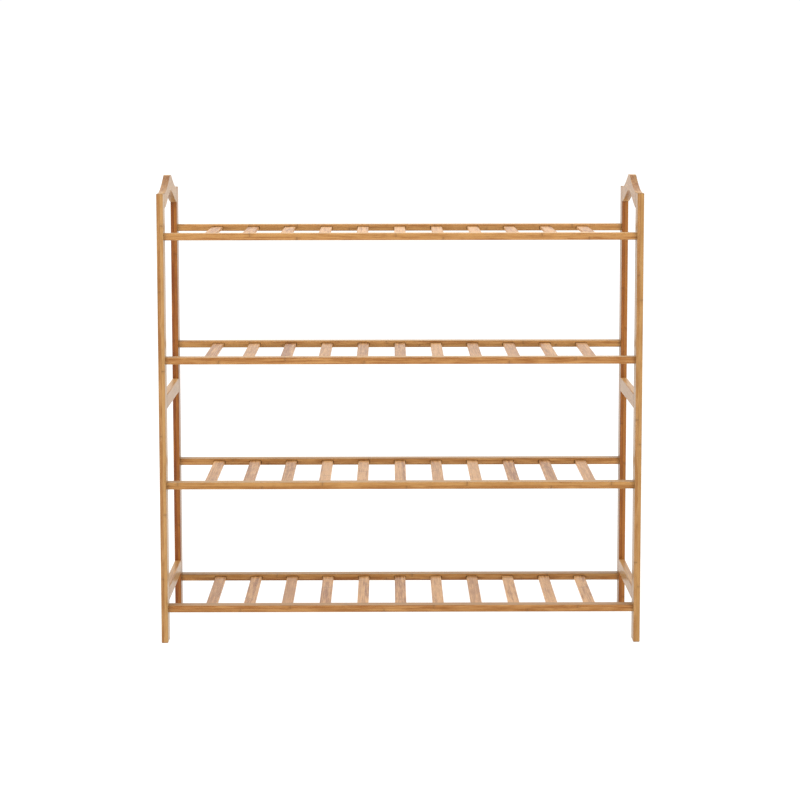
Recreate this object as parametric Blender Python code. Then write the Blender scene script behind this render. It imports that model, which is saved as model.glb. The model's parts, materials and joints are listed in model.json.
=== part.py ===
"""Four-tier slatted bamboo shoe rack, modelled board by board.

Frame: metres, +Z up, X along the shelves, Y from front (-Y) to back (+Y).
The origin is on the floor, in the middle of the rack's footprint.

Each end is a ladder of two posts, an arched crest rail between their tops and two straight
side rails. Each shelf is a front rail and a rear rail between the ends, with slats let into
slots in both rails. Screws through the posts hold the rails: their holes are here.
"""

import math

import bmesh
import bpy

# Overall size
WIDTH = 0.800
DEPTH = 0.260
POST_HEIGHT = 0.7515
CREST_RISE = 0.0255

# Board stock
POST_THICKNESS = 0.011
POST_WIDTH = 0.030
EASED_EDGE = 0.0010
SLAT_EASED_EDGE = 0.0008
GAP = 0.0003

# How far a cutter stands out of the face that it enters
OVERSHOOT = 0.002

# Shelves: the height of each shelf's rail tops, from the floor up
SHELF_TOPS = (0.0625, 0.2710, 0.4805, 0.6860)
SHELF_RAIL_HEIGHT = 0.0115
SHELF_RAIL_WIDTH = 0.020
SHELF_RAIL_SETBACK = 0.005

# Slats: each end enters a round-cornered slot that is a little wider and higher than the slat
SLATS_PER_SHELF = 11
SLAT_PITCH = 0.0638
SLAT_WIDTH = 0.019
SLAT_THICKNESS = 0.005
SLAT_DROP = 0.004
SLAT_ENTRY = 0.006
SLOT_LENGTH = 0.0204
SLOT_HEADROOM = 0.0006
SLOT_CORNER = 0.0012
SLOT_CORNER_STEPS = 2

# Straight side rails: the bottom and top height of each
SIDE_RAILS = {"bottom": (0.066, 0.089), "middle": (0.391, 0.415)}

# Crest rail: flat on top in the middle, arched underneath
CREST_FLAT = 0.020
CREST_FOOT = 0.095
CREST_FLANK_POWER = 1.5
CREST_STEPS = 12
ARCH_APEX = 0.7509
ARCH_FOOT = 0.7260
ARCH_TIP = 0.36
ARCH_HOLLOW = 1.5
ARCH_STEPS = 14

# Tenons that join the crest and side rails to the posts
TENON_THICKNESS = 0.005
TENON_SHOULDER = 0.0045
TENON_LENGTH = 0.012

# Holes for the shelf screws: a counterbore for the head, a hole through the post, a pilot in the rail
HEAD_RADIUS = 0.00425
HEAD_DEPTH = 0.0025
SHANK_RADIUS = 0.0021
PILOT_RADIUS = 0.0016
PILOT_LENGTH = 0.030
HOLE_SIDES = 12

POST_INNER_X = WIDTH / 2 - POST_THICKNESS
POST_CENTRE_Y = DEPTH / 2 - POST_WIDTH / 2
POST_INNER_Y = DEPTH / 2 - POST_WIDTH
RAIL_OUTER_Y = DEPTH / 2 - SHELF_RAIL_SETBACK
RAIL_INNER_Y = RAIL_OUTER_Y - SHELF_RAIL_WIDTH
RAIL_CENTRE_Y = (RAIL_OUTER_Y + RAIL_INNER_Y) / 2

SIDES = {"left": -1, "right": 1}


def clear_scene():
    for obj in list(bpy.data.objects):
        bpy.data.objects.remove(obj, do_unlink=True)


def bamboo(name, colour, roughness=0.38):
    """A lacquered bamboo material of one tone."""
    material = bpy.data.materials.new(name)
    material.use_nodes = True
    shader = material.node_tree.nodes["Principled BSDF"]
    shader.inputs["Base Color"].default_value = (*colour, 1.0)
    shader.inputs["Roughness"].default_value = roughness
    shader.inputs["Metallic"].default_value = 0.0
    material.diffuse_color = (*colour, 1.0)
    return material


def link_object(name, mesh, material=None):
    obj = bpy.data.objects.new(name, mesh)
    bpy.context.scene.collection.objects.link(obj)
    if material is not None and not mesh.materials:
        mesh.materials.append(material)
    return obj


def mesh_from(name, build):
    """Make a mesh by letting build(bm) fill a bmesh."""
    bm = bmesh.new()
    build(bm)
    bmesh.ops.recalc_face_normals(bm, faces=bm.faces[:])
    mesh = bpy.data.meshes.new(name)
    bm.to_mesh(mesh)
    bm.free()
    return mesh


def add_box(bm, low, high):
    """Add a cuboid between two opposite corners."""
    corners = bmesh.ops.create_cube(bm, size=1.0)["verts"]
    for vert in corners:
        vert.co = [low[i] + (vert.co[i] + 0.5) * (high[i] - low[i]) for i in range(3)]


def add_turned(bm, centre, profile):
    """Add a solid turned about a line along X: profile is a list of (x, radius), ends capped."""
    rings = []
    for x, radius in profile:
        ring = []
        for step in range(HOLE_SIDES):
            angle = 2 * math.pi * step / HOLE_SIDES
            place = (x, centre[1] + radius * math.cos(angle), centre[2] + radius * math.sin(angle))
            ring.append(bm.verts.new(place))
        rings.append(ring)
    for ring_a, ring_b in zip(rings, rings[1:]):
        for step in range(HOLE_SIDES):
            after = (step + 1) % HOLE_SIDES
            bm.faces.new((ring_a[step], ring_a[after], ring_b[after], ring_b[step]))
    bm.faces.new(rings[0])
    bm.faces.new(rings[-1])


def add_slot(bm, x, z_low, z_high, y_low, y_high):
    """Add a round-cornered block, long in X, that runs through the rail's face along Y."""
    middle = (z_high + z_low) / 2
    straight_x = SLOT_LENGTH / 2 - SLOT_CORNER
    straight_z = (z_high - z_low) / 2 - SLOT_CORNER
    outline = []
    for turn, (side, end) in enumerate(((1, 1), (-1, 1), (-1, -1), (1, -1))):
        for step in range(SLOT_CORNER_STEPS + 1):
            angle = (turn + step / SLOT_CORNER_STEPS) * math.pi / 2
            outline.append((
                x + side * straight_x + SLOT_CORNER * math.cos(angle),
                middle + end * straight_z + SLOT_CORNER * math.sin(angle),
            ))
    near = [bm.verts.new((place_x, y_low, z)) for place_x, z in outline]
    face = bm.faces.new(near)
    for moved in bmesh.ops.extrude_face_region(bm, geom=[face])["geom"]:
        if isinstance(moved, bmesh.types.BMVert):
            moved.co.y = y_high


def ease_edges(obj, width=EASED_EDGE):
    """Round off a board's long edges and ends, as a sanding pass does."""
    bevel = obj.modifiers.new("eased edges", "BEVEL")
    bevel.width = width
    bevel.segments = 1
    bevel.limit_method = "ANGLE"
    bevel.angle_limit = math.radians(60)


def combine(obj, name, build, operation):
    """Cut a shape from obj, or join it on. The shape is a hidden helper that follows obj."""
    helper = link_object(name, mesh_from(name, build))
    helper.parent = obj
    helper.hide_render = True
    helper.display_type = "WIRE"
    modifier = obj.modifiers.new(name, "BOOLEAN")
    modifier.operation = operation
    modifier.solver = "EXACT"
    modifier.object = helper


def tenon_heights(low, high):
    """A tenon's lowest and highest points, in a rail between low and high."""
    return low + TENON_SHOULDER, high - TENON_SHOULDER


def tenon_x_range(side, clearance):
    """The tenon is centred in the thickness of a side's boards."""
    middle = side * (WIDTH / 2 - POST_THICKNESS / 2)
    half = TENON_THICKNESS / 2 + clearance
    return middle - half, middle + half


def cut_mortise(bm, side, end, low, high):
    """A blind mortise in a post's inner edge for the tenon of a rail between low and high."""
    x_low, x_high = tenon_x_range(side, GAP)
    z_low, z_high = tenon_heights(low, high)
    near = end * (POST_INNER_Y - OVERSHOOT)
    far = end * (POST_INNER_Y + TENON_LENGTH + GAP)
    add_box(bm, (x_low, min(near, far), z_low - GAP), (x_high, max(near, far), z_high + GAP))


def cut_screw_holes(bm, side, end):
    """Counterbored holes through a post, one at each shelf rail."""
    outer = side * WIDTH / 2
    inner = side * POST_INNER_X
    for top in SHELF_TOPS:
        centre = (0.0, end * POST_CENTRE_Y, top - SHELF_RAIL_HEIGHT / 2)
        profile = [
            (outer + side * OVERSHOOT, HEAD_RADIUS),
            (outer - side * HEAD_DEPTH, HEAD_RADIUS),
            (outer - side * HEAD_DEPTH, SHANK_RADIUS),
            (inner - side * OVERSHOOT, SHANK_RADIUS),
        ]
        add_turned(bm, centre, profile)


def make_front_post(side_name, material):
    """A straight post with mortises for the crest rail and both side rails."""
    side = SIDES[side_name]
    inner, outer = side * POST_INNER_X, side * WIDTH / 2
    low = (min(inner, outer), -DEPTH / 2, 0.0)
    high = (max(inner, outer), -POST_INNER_Y, POST_HEIGHT)
    name = side_name + "_front_post"
    post = link_object(name, mesh_from(name, lambda bm: add_box(bm, low, high)), material)
    ease_edges(post)

    def cuts(bm):
        cut_screw_holes(bm, side, -1)
        cut_mortise(bm, side, -1, ARCH_FOOT, POST_HEIGHT)
        for rail_low, rail_high in SIDE_RAILS.values():
            cut_mortise(bm, side, -1, rail_low, rail_high)

    combine(post, name + "_holes", cuts, "DIFFERENCE")


def crest_top(y):
    """Height of the crest's top edge: flat in the middle, then a hollow flank down to the posts."""
    flank = min(max((abs(y) - CREST_FLAT / 2) / (CREST_FOOT - CREST_FLAT / 2), 0.0), 1.0)
    return POST_HEIGHT + CREST_RISE * (1.0 - flank) ** CREST_FLANK_POWER


def crest_arch(y):
    """Height of the crest's lower edge: a blunt-tipped arch with hollow flanks, the hand grip."""
    along = math.hypot(y / POST_INNER_Y, ARCH_TIP) - ARCH_TIP
    fall = min(along / (math.hypot(1.0, ARCH_TIP) - ARCH_TIP), 1.0)
    return ARCH_FOOT + (ARCH_APEX - ARCH_FOOT) * (1.0 - fall) ** ARCH_HOLLOW


def spread(start, end, steps):
    """Evenly spaced values from start to end."""
    return [start + (end - start) * step / steps for step in range(steps + 1)]


def hoop_outline():
    """Outline in Y and Z of a rear post and the crest rail glued to it, as one flat shape."""
    front = -(POST_INNER_Y - GAP)
    flank = spread(-CREST_FOOT, -CREST_FLAT / 2, CREST_STEPS)
    arch_half = spread(POST_INNER_Y, 0.0, ARCH_STEPS)
    outline = [(front, POST_HEIGHT)]
    outline += [(y, crest_top(y)) for y in flank]
    outline += [(-y, crest_top(y)) for y in reversed(flank)]
    outline += [(DEPTH / 2, POST_HEIGHT), (DEPTH / 2, 0.0), (POST_INNER_Y, 0.0)]
    outline += [(y, crest_arch(y)) for y in arch_half]
    outline += [(-y, crest_arch(y)) for y in reversed(arch_half[1:-1])]
    outline += [(front, crest_arch(front))]
    return outline


def add_flat_shape(bm, outline, x_low, x_high):
    """Extrude an outline in Y and Z between two X planes and ease the rims of both faces."""
    near = [bm.verts.new((x_low, y, z)) for y, z in outline]
    face = bm.faces.new(near)
    moved = bmesh.ops.extrude_face_region(bm, geom=[face])["geom"]
    for vert in moved:
        if isinstance(vert, bmesh.types.BMVert):
            vert.co.x = x_high
    rims = [edge for edge in bm.edges if abs(edge.verts[0].co.x - edge.verts[1].co.x) < 1e-6]
    bmesh.ops.bevel(bm, geom=rims, offset=EASED_EDGE, segments=1, affect="EDGES")


def make_rear_hoop(side_name, material):
    """A rear post with the crest rail glued on, and the crest's free tenon for the front post."""
    side = SIDES[side_name]
    x_low, x_high = sorted((side * POST_INNER_X, side * WIDTH / 2))
    name = side_name + "_rear_post_and_crest_rail"
    mesh = mesh_from(name, lambda bm: add_flat_shape(bm, hoop_outline(), x_low, x_high))
    post = link_object(name, mesh, material)

    def tenon(bm):
        tenon_low, tenon_high = tenon_x_range(side, 0.0)
        z_low, z_high = tenon_heights(ARCH_FOOT, POST_HEIGHT)
        front = -(POST_INNER_Y + TENON_LENGTH)
        root = TENON_LENGTH / 2 - POST_INNER_Y
        add_box(bm, (tenon_low, front, z_low), (tenon_high, root, z_high))

    def cuts(bm):
        cut_screw_holes(bm, side, 1)
        for rail_low, rail_high in SIDE_RAILS.values():
            cut_mortise(bm, side, 1, rail_low, rail_high)

    combine(post, name + "_tenon", tenon, "UNION")
    combine(post, name + "_holes", cuts, "DIFFERENCE")


def make_side_rail(side_name, level, material):
    """A straight rail between the posts of one end, with a tenon at each end."""
    side = SIDES[side_name]
    z_low, z_high = SIDE_RAILS[level]
    x_low, x_high = sorted((side * POST_INNER_X, side * WIDTH / 2))
    reach = POST_INNER_Y - GAP
    name = f"{side_name}_{level}_side_rail"
    body = mesh_from(name, lambda bm: add_box(bm, (x_low, -reach, z_low), (x_high, reach, z_high)))
    rail = link_object(name, body, material)
    ease_edges(rail)

    def tenons(bm):
        tenon_low, tenon_high = tenon_x_range(side, 0.0)
        low, high = tenon_heights(z_low, z_high)
        end = POST_INNER_Y + TENON_LENGTH
        add_box(bm, (tenon_low, -end, low), (tenon_high, end, high))

    combine(rail, name + "_tenons", tenons, "UNION")


def slat_places():
    """X of each slat's middle, left to right."""
    first = -SLAT_PITCH * (SLATS_PER_SHELF - 1) / 2
    return [first + SLAT_PITCH * index for index in range(SLATS_PER_SHELF)]


def shelf_rail_mesh():
    """A shelf rail about its own middle, its slotted face towards +Y."""
    half_length = POST_INNER_X - GAP
    half_width = SHELF_RAIL_WIDTH / 2
    half_height = SHELF_RAIL_HEIGHT / 2
    low = (-half_length, -half_width, -half_height)
    return mesh_from("shelf_rail", lambda bm: add_box(bm, low, [-value for value in low]))


def rail_cuts(bm):
    """Slots for the slats and a screw pilot in each end, about the rail's own middle."""
    half_length = POST_INNER_X - GAP
    half_width = SHELF_RAIL_WIDTH / 2
    slat_top = SHELF_RAIL_HEIGHT / 2 - SLAT_DROP
    slot_low = slat_top - SLAT_THICKNESS - GAP
    slot_bottom = half_width - SLAT_ENTRY - GAP
    for x in slat_places():
        add_slot(bm, x, slot_low, slat_top + SLOT_HEADROOM, slot_bottom, half_width + OVERSHOOT)
    for side in SIDES.values():
        mouth = side * (half_length + OVERSHOOT)
        bottom = side * (half_length - PILOT_LENGTH)
        add_turned(bm, (0.0, 0.0, 0.0), [(mouth, PILOT_RADIUS), (bottom, PILOT_RADIUS)])


def make_shelf_rails(number, top, mesh, material):
    """The front and rear rail of one shelf. The rear rail is the same board turned round."""
    for end_name, end in (("front", -1), ("rear", 1)):
        name = f"shelf_{number}_{end_name}_rail"
        rail = link_object(name, mesh, material)
        rail.location = (0.0, end * RAIL_CENTRE_Y, top - SHELF_RAIL_HEIGHT / 2)
        rail.rotation_euler = (0.0, 0.0, math.pi if end > 0 else 0.0)
        ease_edges(rail)
        combine(rail, name + "_slots", rail_cuts, "DIFFERENCE")


def slat_mesh():
    """A slat about its own middle, long enough to enter both rails."""
    half = (SLAT_WIDTH / 2, RAIL_INNER_Y + SLAT_ENTRY, SLAT_THICKNESS / 2)
    return mesh_from("slat", lambda bm: add_box(bm, [-value for value in half], half))


def make_slats(number, top, mesh, material):
    """The slats of one shelf, left to right."""
    height = top - SLAT_DROP - SLAT_THICKNESS / 2
    for index, x in enumerate(slat_places(), start=1):
        slat = link_object(f"shelf_{number}_slat_{index:02d}", mesh, material)
        slat.location = (x, 0.0, height)
        ease_edges(slat, SLAT_EASED_EDGE)


def main():
    clear_scene()
    front_post_bamboo = bamboo("front post bamboo", (0.53, 0.29, 0.11))
    rear_post_bamboo = bamboo("rear post bamboo", (0.45, 0.24, 0.10))
    side_rail_bamboo = bamboo("side rail bamboo", (0.50, 0.28, 0.12))
    shelf_rail_bamboo = bamboo("shelf rail bamboo", (0.52, 0.28, 0.10))
    slat_bamboo = bamboo("slat bamboo", (0.56, 0.36, 0.20))

    for side_name in SIDES:
        make_front_post(side_name, front_post_bamboo)
        make_rear_hoop(side_name, rear_post_bamboo)
        for level in SIDE_RAILS:
            make_side_rail(side_name, level, side_rail_bamboo)

    rail_board = shelf_rail_mesh()
    slat_board = slat_mesh()
    for number, top in enumerate(SHELF_TOPS, start=1):
        make_shelf_rails(number, top, rail_board, shelf_rail_bamboo)
        make_slats(number, top, slat_board, slat_bamboo)


main()
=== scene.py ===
"""Looks of the four-tier bamboo shoe rack: every board and screw, made round its CAD frame.

Row frame: metres, +Z up, X along the shelves, -Y is the front. Each board's mesh carries its own
grain coordinates, so its strips, fibres and knuckles run along it and right through it.
"""

import json
import math
import random

import bmesh
import bpy
from mathutils import Matrix, Vector

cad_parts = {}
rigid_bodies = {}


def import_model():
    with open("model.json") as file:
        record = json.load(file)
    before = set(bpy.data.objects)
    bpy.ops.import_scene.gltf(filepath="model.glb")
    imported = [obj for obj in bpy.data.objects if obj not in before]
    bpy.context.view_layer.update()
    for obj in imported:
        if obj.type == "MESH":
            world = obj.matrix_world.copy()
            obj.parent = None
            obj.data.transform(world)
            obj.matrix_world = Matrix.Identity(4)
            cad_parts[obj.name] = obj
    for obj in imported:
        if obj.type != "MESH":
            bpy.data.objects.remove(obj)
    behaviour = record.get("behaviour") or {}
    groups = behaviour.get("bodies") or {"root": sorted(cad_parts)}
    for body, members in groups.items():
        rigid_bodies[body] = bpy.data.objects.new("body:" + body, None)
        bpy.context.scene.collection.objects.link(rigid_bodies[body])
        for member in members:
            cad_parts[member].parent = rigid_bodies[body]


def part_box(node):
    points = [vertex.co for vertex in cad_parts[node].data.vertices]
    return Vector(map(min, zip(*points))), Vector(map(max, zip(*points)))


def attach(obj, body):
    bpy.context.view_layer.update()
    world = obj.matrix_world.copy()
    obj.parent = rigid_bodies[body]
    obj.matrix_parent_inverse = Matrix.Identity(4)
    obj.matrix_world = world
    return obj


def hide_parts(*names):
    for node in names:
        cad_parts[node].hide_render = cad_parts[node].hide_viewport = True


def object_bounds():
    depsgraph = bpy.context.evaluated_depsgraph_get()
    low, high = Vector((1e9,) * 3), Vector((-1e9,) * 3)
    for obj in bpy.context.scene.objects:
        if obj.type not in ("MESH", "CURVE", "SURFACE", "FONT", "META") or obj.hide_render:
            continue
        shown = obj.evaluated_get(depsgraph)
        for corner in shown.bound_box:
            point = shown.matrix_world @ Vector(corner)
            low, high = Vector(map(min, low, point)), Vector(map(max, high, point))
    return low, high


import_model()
cad_low, cad_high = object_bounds()

SIDES = {"left": -1, "right": 1}
ENDS = {"front": -1, "rear": 1}
LEVELS = ("middle", "bottom")
SHELVES = range(1, 5)
SLATS = range(1, 12)
X, Y, Z = 0, 1, 2

# Sizes that the frame gives
POST_LOW, POST_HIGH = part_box("left_front_post")
HOOP_LOW, HOOP_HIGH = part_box("left_rear_post_and_crest_rail")
POST_WIDTH = POST_HIGH.y - POST_LOW.y
POST_THICKNESS = POST_HIGH.x - POST_LOW.x
POST_TOP = POST_HIGH.z
POST_INNER_Y = HOOP_HIGH.y - POST_WIDTH
TENON_LENGTH = -POST_INNER_Y - HOOP_LOW.y

# Clearances and the rounding of the boards' edges
GAP = 0.0003
TIGHT_GAP = 0.00005
OVERSHOOT = 0.002
EDGE_SEGMENTS = 4
POST_ROUNDING = 0.0014
RAIL_ROUNDING = 0.0012
SLAT_ROUNDING = 0.0010
BUTT_ROUNDING = 0.0002
BUTT_SEGMENTS = 2

# Crest rail: flat on top in the middle, hollow flanks, an arch underneath
CREST_FLAT = 0.020
CREST_FOOT = 0.095
CREST_FLANK_POWER = 1.5
CREST_COLUMNS = 56
CREST_CORNER = math.radians(40)
ARCH_APEX_DROP = 0.0006
ARCH_FOOT_DROP = 0.0255
ARCH_TIP = 0.36
ARCH_HOLLOW = 1.5

# Tenons
TENON_THICKNESS = 0.005
TENON_SHOULDER = 0.0045

# Round-cornered slots in the shelf rails
SLOT_LENGTH = 0.0204
SLOT_HEADROOM = 0.0006
SLOT_CORNER = 0.0012
SLOT_CORNER_STEPS = 6
MOUTH_CHAMFER = 0.00025

# Screw holes and screws
HEAD_HOLE_RADIUS = 0.00425
HEAD_HOLE_DEPTH = 0.0025
SHANK_HOLE_RADIUS = 0.0021
PILOT_RADIUS = 0.0016
PILOT_LENGTH = 0.030
HOLE_SIDES = 40
HEAD_RADIUS = 0.0040
HEAD_HEIGHT = 0.0019
SHANK_RADIUS = 0.0019
SCREW_LENGTH = 0.0345
SMOOTH_SHANK = 0.0085
THREAD_CORE_RADIUS = 0.00145
THREAD_DEPTH = 0.0005
THREAD_PITCH = 0.0018
THREAD_STEPS = 6
THREAD_HALF_WIDTH = 0.3
POINT_LENGTH = 0.005
POINT_SHARE = 0.06
SCREW_SIDES = 24
RECESS_REACH = 0.0023
RECESS_HALF_WIDTH = 0.00052
RECESS_DEPTH = 0.0014
RECESS_FLOOR = 0.45

# How far a slat may sit off the middle of its slots
SLAT_PLAY = 0.0003

# Bamboo: knuckles along a strip, and the width and length of one streak of each kind
KNUCKLE_SPACING = 0.24
SCAR_HALF_WIDTH = 0.0016
SWELLING_HALF_WIDTH = 0.0065
CLOUD_SIZE = (0.0090, 0.045)
BROAD_STREAK = (0.0026, 0.10)
MEDIUM_STREAK = (0.0009, 0.035)
FINE_STREAK = (0.00035, 0.010)
BUNDLE_WIDTH = 0.00095
BUNDLE_LENGTH = 0.016
GLUE_LINE = 0.00022
PORE_DEPTH = 0.00004
WAVE_DEPTH = 0.00012

# These pick the strips of the posts, and of the rails from shelf 1, the lowest, to shelf 4
POST_SEED = 15
RAIL_SEEDS = {"front": (4, 1, 2, 11), "rear": (20, 18, 3, 16)}


# ---------------------------------------------------------------- meshes

def mesh_from(name, build):
    """Make a mesh by letting build(bm) fill a bmesh."""
    bm = bmesh.new()
    build(bm)
    bmesh.ops.recalc_face_normals(bm, faces=bm.faces[:])
    mesh = bpy.data.meshes.new(name)
    bm.to_mesh(mesh)
    bm.free()
    return mesh


def add_box(bm, low, high):
    """Add a cuboid between two opposite corners."""
    for vert in bmesh.ops.create_cube(bm, size=1.0)["verts"]:
        vert.co = [low[i] + (vert.co[i] + 0.5) * (high[i] - low[i]) for i in range(3)]


def add_loft(bm, rings, smooth=True):
    """Skin a row of rings that have the same number of points, and cap both ends."""
    loops = [[bm.verts.new(point) for point in ring] for ring in rings]
    count = len(loops[0])
    for loop_a, loop_b in zip(loops, loops[1:]):
        for i in range(count):
            j = (i + 1) % count
            face = bm.faces.new((loop_a[i], loop_a[j], loop_b[j], loop_b[i]))
            face.smooth = smooth
    for loop in (loops[0][::-1], loops[-1]):
        bm.faces.new(loop)


def circle(centre, radius, axis, sides=HOLE_SIDES):
    """Points of a circle about a line along one axis."""
    across, up = [i for i in range(3) if i != axis]
    points = []
    for step in range(sides):
        angle = 2 * math.pi * step / sides
        point = Vector(centre)
        point[across] += radius * math.cos(angle)
        point[up] += radius * math.sin(angle)
        points.append(point)
    return points


def round_edges(bm, edges, radius, segments=EDGE_SEGMENTS):
    """Round edges off. The new faces are smooth, and their middle is marked as the board's rim."""
    rim = bm.verts.layers.float.get("rim") or bm.verts.layers.float.new("rim")
    made = bmesh.ops.bevel(
        bm, geom=edges, offset=radius, segments=segments, profile=0.5, affect="EDGES"
    )
    rounded = set(made["faces"])
    for face in rounded:
        face.smooth = True
    for vert in made["verts"]:
        if all(face in rounded for face in vert.link_faces):
            vert[rim] = 1.0


def add_tenons(bm, axis, board_low, board_high, reach):
    """Grow a tenon from each end face of a board that lies along axis, out to reach each way."""
    middle_x = (board_low.x + board_high.x) / 2
    for end in (-1, 1):
        face = max(bm.faces, key=lambda f: end * f.calc_center_median()[axis])
        bmesh.ops.inset_individual(bm, faces=[face], thickness=GAP)
        middle = face.calc_center_median()
        low = board_low.z + TENON_SHOULDER
        high = board_high.z - TENON_SHOULDER
        for vert in face.verts:
            vert.co.x = middle_x + math.copysign(TENON_THICKNESS / 2, vert.co.x - middle_x)
            vert.co.z = low if vert.co.z < middle.z else high
        grown = bmesh.ops.extrude_face_region(bm, geom=[face])["geom"]
        for vert in [item for item in grown if isinstance(item, bmesh.types.BMVert)]:
            vert.co[axis] = end * reach
        bm.faces.remove(face)


def carve(mesh, cutter):
    """A copy of the mesh with the cutter's volume taken out."""
    scene_objects = bpy.context.scene.collection.objects
    body = bpy.data.objects.new("carved", mesh)
    tool = bpy.data.objects.new("carver", cutter)
    for helper in (body, tool):
        scene_objects.link(helper)
    modifier = body.modifiers.new("carve", "BOOLEAN")
    modifier.operation = "DIFFERENCE"
    modifier.solver = "EXACT"
    modifier.object = tool
    bpy.context.view_layer.update()
    depsgraph = bpy.context.evaluated_depsgraph_get()
    result = bpy.data.meshes.new_from_object(body.evaluated_get(depsgraph))
    for helper in (body, tool):
        bpy.data.objects.remove(helper, do_unlink=True)
    return result


def store(mesh, name, kind, field, values):
    """Store one value for each point of a mesh."""
    layer = mesh.attributes.get(name) or mesh.attributes.new(name, kind, "POINT")
    layer.data.foreach_set(field, values)


def add_grain(mesh, seed, axes):
    """Give a board its grain: place through the plies, across the strips and along the run.

    axes are those three directions. "board" holds random numbers of the board's own.
    """
    corners = [vert.co for vert in mesh.vertices]
    low = Vector([min(co[i] for co in corners) for i in range(3)])
    high = Vector([max(co[i] for co in corners) for i in range(3)])
    middle = (low + high) / 2
    inward = 0.998  # keeps the board's faces off the borders between its strips
    grain = []
    for co in corners:
        inside = middle + (co - middle) * inward - low
        grain += [inside[axis] for axis in axes]
    draw = random.Random(seed)
    own = [draw.random() for _ in range(3)]
    run = [1.0 if axis == axes[2] else 0.0 for axis in range(3)]
    store(mesh, "grain", "FLOAT_VECTOR", "vector", grain)
    store(mesh, "board", "FLOAT_VECTOR", "vector", own * len(corners))
    store(mesh, "run", "FLOAT_VECTOR", "vector", run * len(corners))


def show(name, mesh, material, slot, *nodes):
    """Put a finished piece in the scene, riding on the rack's one body, for its CAD nodes."""
    piece = bpy.data.objects.new(name, mesh)
    bpy.context.scene.collection.objects.link(piece)
    mesh.name = name
    mesh.materials.clear()
    mesh.materials.append(material)
    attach(piece, "root")
    if nodes:
        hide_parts(*nodes)
    return piece


# ---------------------------------------------------------------- boards

def rounded_board(bm, low, high, radius):
    """A board with all its edges rounded."""
    add_box(bm, low, high)
    round_edges(bm, bm.edges[:], radius)


def round_butt_ends(bm, axis, reach):
    """Only just ease the ends of a board that butts against its neighbours."""
    ends = [
        edge for edge in bm.edges
        if all(abs(abs(vert.co[axis]) - reach) < GAP / 10 for vert in edge.verts)
    ]
    round_edges(bm, ends, BUTT_ROUNDING, BUTT_SEGMENTS)


def butted_board(bm, low, high, radius, axis):
    """A board with rounded long edges and square ends. It is centred along its own axis."""
    add_box(bm, low, high)
    long_edges = [
        edge for edge in bm.edges
        if abs(edge.verts[0].co[axis] - edge.verts[1].co[axis]) > radius
    ]
    round_edges(bm, long_edges, radius)
    round_butt_ends(bm, axis, high[axis])


def rail_middle(shelf, end):
    """Middle of a shelf rail's section, which is also the line of its screws."""
    low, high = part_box(f"shelf_{shelf}_{end}_rail")
    return (low + high) / 2


def post_cutters(bm, side, end):
    """Counterbored screw holes and blind mortises of one post."""
    face = 1 if side > 0 else -1
    outer = side * cad_high.x
    inner = side * (cad_high.x - POST_THICKNESS)
    end_name = "front" if end < 0 else "rear"
    for shelf in SHELVES:
        middle = rail_middle(shelf, end_name)
        stations = (
            (outer + face * OVERSHOOT, HEAD_HOLE_RADIUS + MOUTH_CHAMFER + OVERSHOOT),
            (outer - face * MOUTH_CHAMFER, HEAD_HOLE_RADIUS),
            (outer - face * HEAD_HOLE_DEPTH, HEAD_HOLE_RADIUS),
            (outer - face * HEAD_HOLE_DEPTH, SHANK_HOLE_RADIUS),
            (inner - face * OVERSHOOT, SHANK_HOLE_RADIUS),
        )
        add_loft(bm, [circle((x, middle.y, middle.z), radius, X) for x, radius in stations])
    sockets = [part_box(f"left_{level}_side_rail") for level in LEVELS]
    heights = [(low.z, high.z) for low, high in sockets]
    if end < 0:
        heights.append((POST_TOP - ARCH_FOOT_DROP, POST_TOP))
    middle_x = (outer + inner) / 2
    half = TENON_THICKNESS / 2 + GAP
    for low, high in heights:
        near = end * (POST_INNER_Y - OVERSHOOT)
        far = end * (POST_INNER_Y + TENON_LENGTH + GAP)
        z_low = low + TENON_SHOULDER - GAP
        z_high = high - TENON_SHOULDER + GAP
        add_box(
            bm,
            (middle_x - half, min(near, far), z_low),
            (middle_x + half, max(near, far), z_high),
        )


def make_post(side_name, end_name, material, node):
    """One post, with its screw holes and the mortises for the rails' tenons."""
    side, end = SIDES[side_name], ENDS[end_name]
    x_low, x_high = sorted((side * (cad_high.x - POST_THICKNESS), side * cad_high.x))
    y_low, y_high = sorted((end * POST_INNER_Y, end * cad_high.y))
    low, high = Vector((x_low, y_low, 0.0)), Vector((x_high, y_high, POST_TOP))
    solid = mesh_from("post", lambda bm: rounded_board(bm, low, high, POST_ROUNDING))
    cutter = mesh_from("post cutters", lambda bm: post_cutters(bm, side, end))
    mesh = carve(solid, cutter)
    name = f"{end_name}_post_{side_name}"
    add_grain(mesh, f"{POST_SEED} {name}", (X, Y, Z))
    show(name, mesh, material, "post_bamboo", node)


def crest_top(y):
    """Height of the crest's top edge."""
    flank = (abs(y) - CREST_FLAT / 2) / (CREST_FOOT - CREST_FLAT / 2)
    flank = min(max(flank, 0.0), 1.0)
    return POST_TOP + (HOOP_HIGH.z - POST_TOP) * (1.0 - flank) ** CREST_FLANK_POWER


def crest_arch(y):
    """Height of the crest's lower edge: a blunt-tipped arch with hollow flanks."""
    along = math.hypot(y / POST_INNER_Y, ARCH_TIP) - ARCH_TIP
    fall = min(along / (math.hypot(1.0, ARCH_TIP) - ARCH_TIP), 1.0)
    rise = (ARCH_FOOT_DROP - ARCH_APEX_DROP) * (1.0 - fall) ** ARCH_HOLLOW
    return POST_TOP - ARCH_FOOT_DROP + rise


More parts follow.
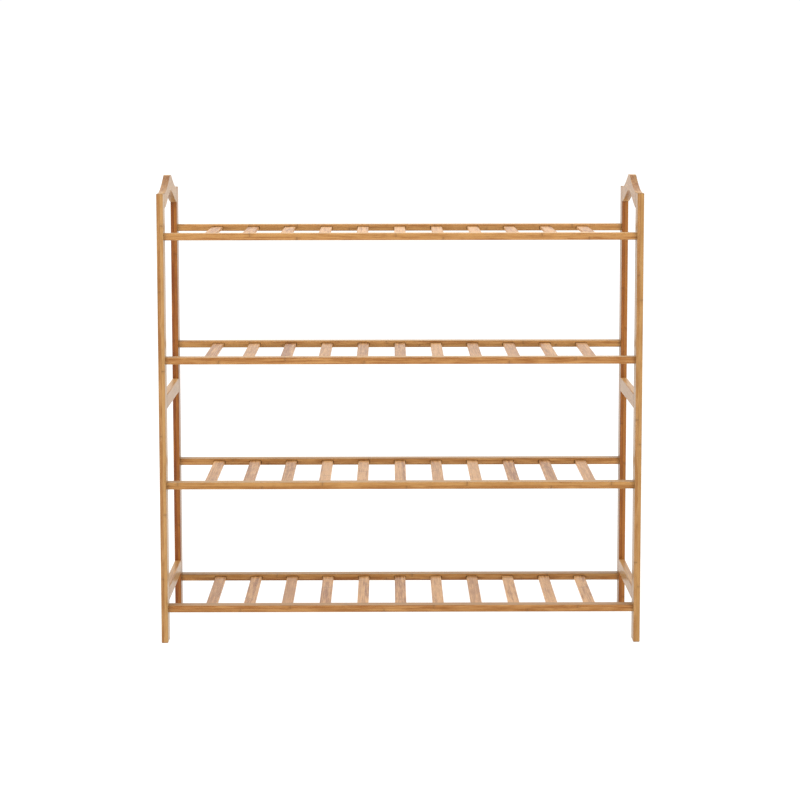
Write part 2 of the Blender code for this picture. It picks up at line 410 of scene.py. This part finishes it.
def crest_rail(bm, x_low, x_high):
    """The crest between the posts, as a row of sections from front to back, with its tenons."""
    reach = POST_INNER_Y - TIGHT_GAP
    sections = []
    for column in range(CREST_COLUMNS + 1):
        y = -reach + 2 * reach * column / CREST_COLUMNS
        low, high = crest_arch(y), crest_top(y)
        sections.append([(x_low, y, low), (x_high, y, low), (x_high, y, high), (x_low, y, high)])
    add_loft(bm, sections, smooth=False)
    long_corners = [
        edge for edge in bm.edges
        if edge.calc_face_angle() > CREST_CORNER and edge.verts[0].co.y != edge.verts[1].co.y
    ]
    round_edges(bm, long_corners, RAIL_ROUNDING)
    round_butt_ends(bm, Y, reach)
    for face in bm.faces:
        on_top_or_underneath = abs(face.normal.z) > 0.5 and abs(face.normal.x) < 0.05
        if on_top_or_underneath:
            face.smooth = True
            for edge in face.edges:
                edge.smooth = len(set(other.smooth for other in edge.link_faces)) == 1
    board_low = Vector((x_low, -reach, crest_arch(reach)))
    board_high = Vector((x_high, reach, POST_TOP))
    add_tenons(bm, Y, board_low, board_high, POST_INNER_Y + TENON_LENGTH)


def make_crest(side_name, material):
    """The crest rail of one end. In the CAD it is one solid with the rear post."""
    side = SIDES[side_name]
    x_low, x_high = sorted((side * (cad_high.x - POST_THICKNESS), side * cad_high.x))
    name = f"crest_rail_{side_name}"
    mesh = mesh_from(name, lambda bm: crest_rail(bm, x_low, x_high))
    add_grain(mesh, name, (X, Z, Y))
    show(name, mesh, material, "post_bamboo", f"{side_name}_rear_post_and_crest_rail")


def side_rail(bm, low, high):
    """A straight rail between two posts, with its tenons. low and high take those in."""
    reach = POST_INNER_Y - TIGHT_GAP
    body_low, body_high = Vector((low.x, -reach, low.z)), Vector((high.x, reach, high.z))
    butted_board(bm, body_low, body_high, RAIL_ROUNDING, Y)
    add_tenons(bm, Y, body_low, body_high, high.y)


def make_side_rail(side_name, level, material):
    """The middle or bottom rail of one end."""
    node = f"{side_name}_{level}_side_rail"
    low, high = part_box(node)
    name = f"side_rail_{side_name}_{level}"
    mesh = mesh_from(name, lambda bm: side_rail(bm, low, high))
    add_grain(mesh, name, (X, Z, Y))
    show(name, mesh, material, "post_bamboo", node)


def slot_ring(x, y, z_low, z_high, spread):
    """Outline of a round-cornered slot at one depth, spread a little wider all round."""
    middle = (z_low + z_high) / 2
    straight_x = SLOT_LENGTH / 2 - SLOT_CORNER
    straight_z = (z_high - z_low) / 2 - SLOT_CORNER
    radius = SLOT_CORNER + spread
    points = []
    for turn, (side, end) in enumerate(((1, 1), (-1, 1), (-1, -1), (1, -1))):
        for step in range(SLOT_CORNER_STEPS + 1):
            angle = (turn + step / SLOT_CORNER_STEPS) * math.pi / 2
            across = side * straight_x + radius * math.cos(angle)
            up = end * straight_z + radius * math.sin(angle)
            points.append((x + across, y, middle + up))
    return points


SLAT_LOW, SLAT_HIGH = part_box("shelf_1_slat_01")


def rail_cutters(bm, rail_low, rail_high):
    """Slots for the first shelf's slats in its front rail, and a pilot hole in each end."""
    face = rail_high.y
    floor = SLAT_LOW.z - GAP
    roof = SLAT_HIGH.z + SLOT_HEADROOM
    for number in SLATS:
        low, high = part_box(f"shelf_1_slat_{number:02d}")
        x = (low.x + high.x) / 2
        stations = (
            (low.y - GAP, 0.0),
            (face - MOUTH_CHAMFER, 0.0),
            (face + OVERSHOOT, MOUTH_CHAMFER + OVERSHOOT),
        )
        add_loft(bm, [slot_ring(x, y, floor, roof, spread) for y, spread in stations])
    middle = (rail_low + rail_high) / 2
    for end in (rail_low.x, rail_high.x):
        outward = math.copysign(1, end)
        stations = (end + outward * OVERSHOOT, end - outward * PILOT_LENGTH)
        add_loft(bm, [circle((x, middle.y, middle.z), PILOT_RADIUS, X) for x in stations])


def make_shelf_rails(material):
    """One slotted board, repeated for every shelf; the rear rail is the board turned round."""
    low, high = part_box("shelf_1_front_rail")
    low.x, high.x = low.x - GAP + TIGHT_GAP, high.x + GAP - TIGHT_GAP
    solid = mesh_from("rail", lambda bm: butted_board(bm, low, high, RAIL_ROUNDING, X))
    board = carve(solid, mesh_from("rail cutters", lambda bm: rail_cutters(bm, low, high)))
    home = (low + high) / 2
    for shelf in SHELVES:
        for end_name, end in ENDS.items():
            turn = Matrix.Rotation(math.pi if end > 0 else 0.0, 4, "Z")
            place = Matrix.Translation(rail_middle(shelf, end_name))
            mesh = board.copy()
            mesh.transform(place @ turn @ Matrix.Translation(-home))
            name = f"shelf_rail_{shelf}_{end_name}"
            add_grain(mesh, f"{RAIL_SEEDS[end_name][shelf - 1]} {name}", (Z, Y, X))
            show(name, mesh, material, "rail_bamboo", f"shelf_{shelf}_{end_name}_rail")


def make_slats(material):
    """Eleven slats on every shelf, each a hair off the middle of its slots."""
    solid = mesh_from("slat", lambda bm: rounded_board(bm, SLAT_LOW, SLAT_HIGH, SLAT_ROUNDING))
    for shelf in SHELVES:
        for number in SLATS:
            node = f"shelf_{shelf}_slat_{number:02d}"
            name = f"slat_{shelf}_{number:02d}"
            play = random.Random(name + " play").uniform(-SLAT_PLAY, SLAT_PLAY)
            mesh = solid.copy()
            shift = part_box(node)[0] - SLAT_LOW + Vector((play, 0.0, 0.0))
            mesh.transform(Matrix.Translation(shift))
            add_grain(mesh, name, (Z, X, Y))
            show(name, mesh, material, "slat_bamboo", node)


# ---------------------------------------------------------------- screws

def screw_body(bm):
    """A cheese-head wood screw along +Z, its head's top at the origin, its point down."""
    rings = []
    head_profile = (
        (0.0, 0.55), (0.0, 0.86), (-0.00008, 0.94), (-0.0003, 1.0), (-HEAD_HEIGHT, 1.0),
    )
    for z, share in head_profile:
        rings.append(circle((0, 0, z), HEAD_RADIUS * share, Z, SCREW_SIDES))
    shank_end = -HEAD_HEIGHT - SMOOTH_SHANK
    rings.append(circle((0, 0, -HEAD_HEIGHT), SHANK_RADIUS, Z, SCREW_SIDES))
    rings.append(circle((0, 0, shank_end), SHANK_RADIUS, Z, SCREW_SIDES))
    threaded = SCREW_LENGTH - SMOOTH_SHANK
    rows = round(threaded / THREAD_PITCH * THREAD_STEPS)
    for row in range(rows + 1):
        depth = threaded * row / rows
        taper = min(1.0, (threaded - depth) / POINT_LENGTH)
        ring = []
        for side in range(SCREW_SIDES):
            turn = side / SCREW_SIDES
            phase = (depth / THREAD_PITCH - turn) % 1.0
            crest = max(0.0, 1.0 - abs(phase - 0.5) / THREAD_HALF_WIDTH)
            radius = max(taper, POINT_SHARE) * (THREAD_CORE_RADIUS + THREAD_DEPTH * crest)
            angle = 2 * math.pi * turn
            place = (radius * math.cos(angle), radius * math.sin(angle), shank_end - depth)
            ring.append(place)
        rings.append(ring)
    add_loft(bm, rings)


def cross_recess(bm):
    """The tapered cross that a driver fits, from above the head down to its floor."""
    quarter = (
        (RECESS_REACH, -RECESS_HALF_WIDTH),
        (RECESS_REACH, RECESS_HALF_WIDTH),
        (RECESS_HALF_WIDTH, RECESS_HALF_WIDTH),
    )
    outline = []
    for turn in range(4):
        turned = Matrix.Rotation(turn * math.pi / 2, 2)
        outline += [turned @ Vector(point) for point in quarter]
    rings = []
    for z, share in ((OVERSHOOT, 1.0), (0.0, 1.0), (-RECESS_DEPTH, RECESS_FLOOR)):
        rings.append([(point.x * share, point.y * share, z) for point in outline])
    add_loft(bm, rings, smooth=False)


def make_screws(material):
    """Two screws through each post at every shelf's end, heads in the counterbores."""
    solid = mesh_from("screw", screw_body)
    screw = carve(solid, mesh_from("recess", cross_recess))
    store(screw, "own", "FLOAT_VECTOR", "vector", [c for v in screw.vertices for c in v.co])
    head_top = cad_high.x - HEAD_HOLE_DEPTH + HEAD_HEIGHT
    for side_name, side in SIDES.items():
        for end_name in ENDS:
            for shelf in SHELVES:
                name = f"screw_{side_name}_{end_name}_{shelf}"
                middle = rail_middle(shelf, end_name)
                spin = Matrix.Rotation(random.Random(name).uniform(0, math.pi), 4, "Z")
                lay = Matrix.Rotation(side * math.pi / 2, 4, "Y")
                place = Matrix.Translation((side * head_top, middle.y, middle.z))
                mesh = screw.copy()
                mesh.transform(place @ lay @ spin)
                show(name, mesh, material, "screw_steel")


# ---------------------------------------------------------------- materials

class Graph:
    """A material's node tree, with a short call for each kind of node used here."""

    def __init__(self, name):
        self.material = bpy.data.materials.new(name)
        self.material.use_nodes = True
        self.tree = self.material.node_tree
        self.shader = self.tree.nodes["Principled BSDF"]

    def feed(self, socket, value):
        """Link a socket to another one, or set it to a plain value."""
        if isinstance(value, bpy.types.NodeSocket):
            self.tree.links.new(value, socket)
        elif value is not None:
            socket.default_value = value

    def set(self, name, value):
        self.feed(self.shader.inputs[name], value)

    def node(self, kind, inputs=(), **settings):
        made = self.tree.nodes.new(kind)
        for key, value in settings.items():
            setattr(made, key, value)
        for key, value in dict(inputs).items():
            self.feed(made.inputs[key], value)
        return made

    def attribute(self, name):
        return self.node("ShaderNodeAttribute", attribute_name=name)

    def split(self, vector):
        made = self.node("ShaderNodeSeparateXYZ", {0: vector})
        return made.outputs[0], made.outputs[1], made.outputs[2]

    def join(self, x, y, z):
        return self.node("ShaderNodeCombineXYZ", {0: x, 1: y, 2: z}).outputs[0]

    def math(self, operation, a, b=None, c=None):
        made = self.node("ShaderNodeMath", operation=operation)
        for socket, value in zip(made.inputs, (a, b, c)):
            self.feed(socket, value)
        return made.outputs[0]

    def vector(self, operation, a, b=None):
        made = self.node("ShaderNodeVectorMath", operation=operation)
        for socket, value in zip(made.inputs, (a, b)):
            self.feed(socket, value)
        return made.outputs["Value"] if operation == "DOT_PRODUCT" else made.outputs["Vector"]

    def noise(self, vector, scale=1.0, detail=2.0, roughness=0.5):
        values = {"Vector": vector, "Scale": scale, "Detail": detail, "Roughness": roughness}
        return self.node("ShaderNodeTexNoise", values).outputs[0]

    def random(self, vector):
        return self.node("ShaderNodeTexWhiteNoise", {"Vector": vector}).outputs["Color"]

    def cells(self, vector, randomness=1.0):
        values = {"Vector": vector, "Scale": 1.0, "Randomness": randomness}
        return self.node("ShaderNodeTexVoronoi", values).outputs["Distance"]

    def ramp(self, value, low, high, to_low=0.0, to_high=1.0, smooth=True):
        """Map a value's range low to high onto another range, and hold it outside."""
        kind = "SMOOTHSTEP" if smooth else "LINEAR"
        made = self.node("ShaderNodeMapRange", interpolation_type=kind)
        for index, number in enumerate((value, low, high, to_low, to_high)):
            self.feed(made.inputs[index], number)
        return made.outputs[0]

    def mix(self, factor, a, b, blend="MIX"):
        made = self.node("ShaderNodeMix", data_type="RGBA", blend_type=blend)
        self.feed(made.inputs[0], factor)
        self.feed(made.inputs[6], a)
        self.feed(made.inputs[7], b)
        return made.outputs[2]

    def total(self, first, *rest):
        for value in rest:
            first = self.math("ADD", first, value)
        return first

    def centred(self, value, amount):
        """A 0 to 1 value, moved to lie about zero and scaled."""
        return self.math("MULTIPLY", self.math("SUBTRACT", value, 0.5), amount)

    def bump(self, height, distance, under=None):
        values = {"Height": height, "Distance": distance, "Strength": 1.0}
        if under is not None:
            values["Normal"] = under
        return self.node("ShaderNodeBump", values).outputs[0]


def srgb(red, green, blue):
    """A screen colour, 0 to 255, as the linear colour that shaders take."""
    linear = []
    for value in (red, green, blue):
        share = value / 255
        low = share / 12.92
        high = ((share + 0.055) / 1.055) ** 2.4
        linear.append(low if share <= 0.04045 else high)
    return (*linear, 1.0)


def bamboo(name, ply, strip, pale, deep, olive, dark, two_tone=0.0, coat=0.35, sheen=0.3):
    """Lacquered, laminated bamboo. ply and strip are the thickness and width of its strips.

    two_tone makes every other ply yellower, the ones between redder. coat and sheen are the
    weights of the lacquer's cool shine and of its warm bloom.
    """
    g = Graph(name)
    grain = g.attribute("grain").outputs["Vector"]
    through, across, along = g.split(grain)
    own, own_tone, own_shift = g.split(g.attribute("board").outputs["Vector"])
    rim = g.attribute("rim").outputs["Fac"]

    # Which strip a point is in, and three random numbers for that strip
    ply_place = g.math("DIVIDE", through, ply)
    ply_number = g.math("FLOOR", ply_place)
    own_offset = g.math("MULTIPLY", own, 37.0)
    stagger = g.math("FRACT", g.math("MULTIPLY_ADD", ply_number, 0.43, own_shift))
    strip_place = g.math("ADD", g.math("DIVIDE", across, strip), stagger)
    strip_number = g.math("FLOOR", strip_place)
    strip_random = g.random(g.join(ply_number, strip_number, own_offset))
    shade, hue, phase = g.split(strip_random)

    # Knuckles: one every so often along a strip, slightly wavy across it
    shifted = g.math("ADD", along, g.math("MULTIPLY", phase, KNUCKLE_SPACING))
    shifted = g.math("ADD", shifted, g.math("MULTIPLY", own, KNUCKLE_SPACING))
    waver = g.noise(g.join(through, across, own_offset), 260.0, 1.0)
    shifted = g.math("ADD", shifted, g.centred(waver, 0.004))
    knuckle = g.math("WRAP", shifted, KNUCKLE_SPACING / 2, -KNUCKLE_SPACING / 2)
    near = g.math("ABSOLUTE", knuckle)
    scar = g.ramp(near, 0.0002, SCAR_HALF_WIDTH, 1.0, 0.0)
    swelling = g.ramp(near, 0.0010, SWELLING_HALF_WIDTH, 1.0, 0.0)
    above = g.ramp(knuckle, -0.0005, 0.0045, 1.0, 0.0)
    below = g.ramp(knuckle, -0.0012, 0.0, 0.0, 1.0)
    collar = g.math("MULTIPLY", above, below)

    # Fibres: fine streaks along the run, bent a little by the knuckles
    drift = g.noise(g.join(0.0, own_offset, along), 24.0, 1.0)
    kink = g.noise(g.join(across, own_offset, along), 320.0, 1.0)
    bend = g.math("MULTIPLY", g.centred(kink, 0.0016), swelling)
    bend = g.math("ADD", bend, g.centred(drift, 0.0014))
    fibre_across = g.math("ADD", across, bend)
    jitter = g.math("MULTIPLY", shade, 19.0)
    long_place = g.math("ADD", along, jitter)
    lateral = g.join(through, fibre_across, 0.0)

    def streaks(size, detail=2.0):
        """Noise stretched along the run. size is the width and length of one streak."""
        width, length = size
        wide = g.vector("MULTIPLY", lateral, (1 / width, 1 / width, 0.0))
        high = g.join(own_offset, 0.0, g.math("DIVIDE", long_place, length))
        return g.noise(g.vector("ADD", wide, high), 1.0, detail)

    cloud = streaks(CLOUD_SIZE, 1.0)
    broad = streaks(BROAD_STREAK, 1.0)
    medium = streaks(MEDIUM_STREAK)
    fine = streaks(FINE_STREAK)
    cell = g.join(
        g.math("DIVIDE", through, BUNDLE_WIDTH),
        g.math("DIVIDE", fibre_across, BUNDLE_WIDTH),
        g.math("DIVIDE", long_place, BUNDLE_LENGTH),
    )
    bundle = g.ramp(g.cells(cell), 0.10, 0.34, 1.0, 0.0)
    worn = g.noise(g.join(through, across, g.math("MULTIPLY", along, 0.5)), 180.0, 3.0)

    # Colour: tone runs from 0, pale, to 1, deep
    tone = g.total(
        0.5,
        g.centred(shade, 0.50),
        g.centred(cloud, 1.10),
        g.centred(broad, 1.60),
        g.centred(medium, 1.60),
        g.centred(fine, 0.90),
        g.centred(own_tone, 0.22),
    )
    odd_ply = g.math("FLOORED_MODULO", ply_number, 2.0)
    tone = g.math("SUBTRACT", tone, g.centred(odd_ply, 0.55 * two_tone))
    colour = g.mix(g.ramp(tone, 0.0, 1.0), pale, deep)
    yellow = g.ramp(hue, 0.35, 1.0, 0.0, 0.40)
    yellow = g.math("MULTIPLY_ADD", odd_ply, 0.45 * two_tone, yellow)
    colour = g.mix(yellow, colour, olive)
    colour = g.mix(g.math("MULTIPLY", bundle, 0.34), colour, dark)
    colour = g.mix(g.math("MULTIPLY", collar, 0.30), colour, pale)
    colour = g.mix(g.math("MULTIPLY", scar, 0.40), colour, dark)
    colour = g.mix(g.math("MULTIPLY", swelling, 0.16), colour, dark)
    ply_seam = g.math("PINGPONG", ply_place, 0.5)
    strip_seam = g.math("PINGPONG", strip_place, 0.5)
    seam = g.math(
        "MAXIMUM",
        g.ramp(ply_seam, 0.0, GLUE_LINE / ply, 1.0, 0.0),
        g.ramp(strip_seam, 0.0, GLUE_LINE / strip, 1.0, 0.0),
    )
    colour = g.mix(g.math("MULTIPLY", seam, 0.38), colour, dark)
    # Sawn ends are darker: there the face looks along the run
    facing = g.vector(
        "DOT_PRODUCT",
        g.node("ShaderNodeNewGeometry").outputs["Normal"],
        g.attribute("run").outputs["Vector"],
    )
    sawn = g.ramp(g.math("ABSOLUTE", facing), 0.08, 0.70)
    colour = g.mix(g.math("MULTIPLY", sawn, 0.58), colour, dark)
    rubbed = g.math("MULTIPLY", rim, g.ramp(worn, 0.45, 0.70))
    colour = g.mix(g.math("MULTIPLY", rubbed, 0.30), colour, pale)
    g.set("Base Color", colour)

    # Lacquer
    roughness = g.total(
        0.36,
        g.centred(medium, 0.10),
        g.centred(worn, 0.10),
        g.math("MULTIPLY", bundle, 0.06),
        g.math("MULTIPLY", sawn, 0.22),
        g.math("MULTIPLY", rubbed, 0.12),
    )
    g.set("Roughness", roughness)
    g.set("IOR", 1.25)
    g.set("Coat Weight", coat)
    g.set("Coat Roughness", 0.25)
    g.set("Coat IOR", 1.35)
    g.set("Sheen Weight", sheen)
    g.set("Sheen Roughness", 0.3)
    g.set("Sheen Tint", (1.0, 0.66, 0.30, 1.0))
    waviness = g.noise(g.join(through, across, g.math("MULTIPLY", along, 0.35)), 70.0, 1.0)
    surface = g.total(
        g.math("MULTIPLY", medium, 0.5),
        g.math("MULTIPLY", fine, 0.3),
        g.math("MULTIPLY", bundle, -0.35),
        g.math("MULTIPLY", scar, -0.8),
        g.math("MULTIPLY", swelling, 0.5),
        g.math("MULTIPLY", seam, -0.5),
    )
    rolling = g.bump(waviness, WAVE_DEPTH)
    g.set("Normal", g.bump(surface, PORE_DEPTH, rolling))
    return g.material


def screw_steel():
    """Zinc-plated steel: turned rings, cloudy plating and small scratches."""
    g = Graph("zinc plated steel")
    place = g.attribute("own").outputs["Vector"]
    x, y, z = g.split(place)
    radius = g.math("SQRT", g.math("ADD", g.math("MULTIPLY", x, x), g.math("MULTIPLY", y, y)))
    rings = g.noise(g.join(g.math("MULTIPLY", radius, 9000.0), 0.0, 0.0), 1.0, 2.0)
    clouds = g.noise(place, 900.0, 3.0)
    scratches = g.noise(g.vector("MULTIPLY", place, (9000.0, 700.0, 900.0)), 1.0, 2.0)
    tint = g.mix(g.ramp(clouds, 0.35, 0.7), (0.50, 0.49, 0.45, 1.0), (0.72, 0.71, 0.69, 1.0))
    # Painted shade: the cross recess darkens to near black towards its floor
    deep = g.ramp(z, -RECESS_DEPTH, -0.0004, 0.7, 0.0)
    tint = g.mix(deep, tint, (0.10, 0.09, 0.08, 1.0))
    g.set("Base Color", tint)
    g.set("Metallic", 1.0)
    g.set("Roughness", g.total(0.30, g.centred(clouds, 0.22), g.centred(scratches, 0.15)))
    height = g.total(g.math("MULTIPLY", rings, 0.6), g.math("MULTIPLY", scratches, 0.4))
    g.set("Normal", g.bump(height, 0.00002))
    return g.material


def floor_material():
    """A matt white studio sweep with a faint mottle."""
    g = Graph("white sweep")
    place = g.node("ShaderNodeTexCoord").outputs["Object"]
    mottle = g.noise(place, 6.0, 3.0)
    g.set("Base Color", g.mix(mottle, (0.14, 0.14, 0.14, 1.0), (0.16, 0.16, 0.16, 1.0)))
    g.set("Roughness", 0.9)
    g.set("Specular IOR Level", 0.2)
    g.set("Emission Color", (1.0, 1.0, 1.0, 1.0))
    g.set("Emission Strength", FLOOR_GLOW)
    return g.material


# ---------------------------------------------------------------- studio

FLOOR_HALF = 60.0
FLOOR_DROP = 0.0001
FLOOR_GLOW = 0.93
STUDIO_GLOW = 1.04


def make_floor():
    """One wide sheet just under the feet."""
    corners = [(-FLOOR_HALF, -FLOOR_HALF), (FLOOR_HALF, -FLOOR_HALF)]
    corners += [(FLOOR_HALF, FLOOR_HALF), (-FLOOR_HALF, FLOOR_HALF)]

    def sheet(bm):
        bm.faces.new([bm.verts.new((x, y, cad_low.z - FLOOR_DROP)) for x, y in corners])

    floor = bpy.data.objects.new("studio_floor", mesh_from("studio_floor", sheet))
    bpy.context.scene.collection.objects.link(floor)
    floor.data.materials.append(floor_material())


def make_world():
    """An even white studio all round."""
    world = bpy.data.worlds.new("studio")
    world.use_nodes = True
    background = world.node_tree.nodes["Background"]
    background.inputs["Color"].default_value = (1.0, 1.0, 1.0, 1.0)
    background.inputs["Strength"].default_value = STUDIO_GLOW
    bpy.context.scene.world = world


def softbox(name, place, target, width, height, power, glossy=True):
    """A rectangular area light that faces a point, seen in the lacquer's shine or not."""
    data = bpy.data.lights.new(name, "AREA")
    data.shape = "RECTANGLE"
    data.size = width
    data.size_y = height
    data.energy = power
    light = bpy.data.objects.new(name, data)
    light.location = place
    aim = Vector(target) - Vector(place)
    light.rotation_euler = aim.to_track_quat("-Z", "Y").to_euler()
    light.visible_camera = False
    light.visible_glossy = glossy
    bpy.context.scene.collection.objects.link(light)


def make_lights():
    middle = (cad_low + cad_high) / 2
    softbox("top_softbox", (0.0, -0.8, 3.4), middle, 2.4, 1.8, 60.0)
    softbox("left_softbox", (-3.8, -2.8, 1.1), middle, 2.8, 1.8, 147.0, glossy=False)
    softbox("right_softbox", (3.8, -2.8, 1.1), middle, 2.8, 1.8, 149.0, glossy=False)


CAMERA_PLACE = Vector((-0.0204, -3.6222, 0.9267))
CAMERA_LENS = 95.96
CAMERA_PITCH = math.radians(5.838)
CAMERA_YAW = math.radians(-0.322)
CAMERA_ROLL = math.radians(-0.064)
CAMERA_SHIFT = -0.12


def make_camera():
    """A long lens in front of the rack, a little above it, as the product picture has it."""
    data = bpy.data.cameras.new("camera")
    data.lens = CAMERA_LENS
    data.shift_y = CAMERA_SHIFT
    data.dof.use_dof = False
    camera = bpy.data.objects.new("camera", data)
    level = Matrix.Rotation(math.pi / 2 - CAMERA_PITCH, 4, "X")
    turned = Matrix.Rotation(CAMERA_YAW, 4, "Z") @ level @ Matrix.Rotation(CAMERA_ROLL, 4, "Z")
    camera.matrix_world = Matrix.Translation(CAMERA_PLACE) @ turned
    bpy.context.scene.collection.objects.link(camera)
    bpy.context.scene.camera = camera


# ---------------------------------------------------------------- the whole rack

def main():
    pale, deep = srgb(160, 118, 71), srgb(118, 70, 27)
    olive, dark = srgb(146, 110, 60), srgb(60, 30, 8)
    grey_pale, grey_deep = srgb(161, 124, 82), srgb(118, 73, 32)
    # The rear posts get a darker, redder copy of the bamboo: partly the boards' own tone, partly
    # painted shade
    red_pale, red_deep = srgb(143, 88, 33), srgb(96, 43, 7)
    red_olive, red_dark = srgb(128, 82, 34), srgb(52, 22, 6)
    # The slats' bamboo is paler than the rails': partly the slats' own tone, partly painted light
    # from above
    slat_pale, slat_deep = srgb(199, 151, 98), srgb(131, 78, 35)

    post = bamboo("front post bamboo", 0.0055, 0.0175, grey_pale, grey_deep, olive, dark, 1.0)
    reds = (red_pale, red_deep, red_olive, red_dark)
    rear_post = bamboo("rear post bamboo", 0.0055, 0.0175, *reds, 0.6)
    crest = bamboo("crest and side rail bamboo", 0.0055, 0.0185, pale, deep, olive, dark)
    rail = bamboo(
        "shelf rail bamboo", 0.00575, 0.0205, pale, deep, olive, dark, coat=0.06, sheen=0.42
    )
    slat = bamboo(
        "slat bamboo", 0.0052, 0.0210, slat_pale, slat_deep, slat_pale, dark, coat=0.20, sheen=0.06
    )

    for side_name in SIDES:
        make_post(side_name, "front", post, f"{side_name}_front_post")
        make_post(side_name, "rear", rear_post, f"{side_name}_rear_post_and_crest_rail")
        make_crest(side_name, crest)
        for level in LEVELS:
            make_side_rail(side_name, level, crest)
    make_shelf_rails(rail)
    make_slats(slat)
    make_screws(screw_steel())

    make_floor()
    make_world()
    make_lights()
    make_camera()
    bpy.context.scene.view_settings.view_transform = "Standard"


main()
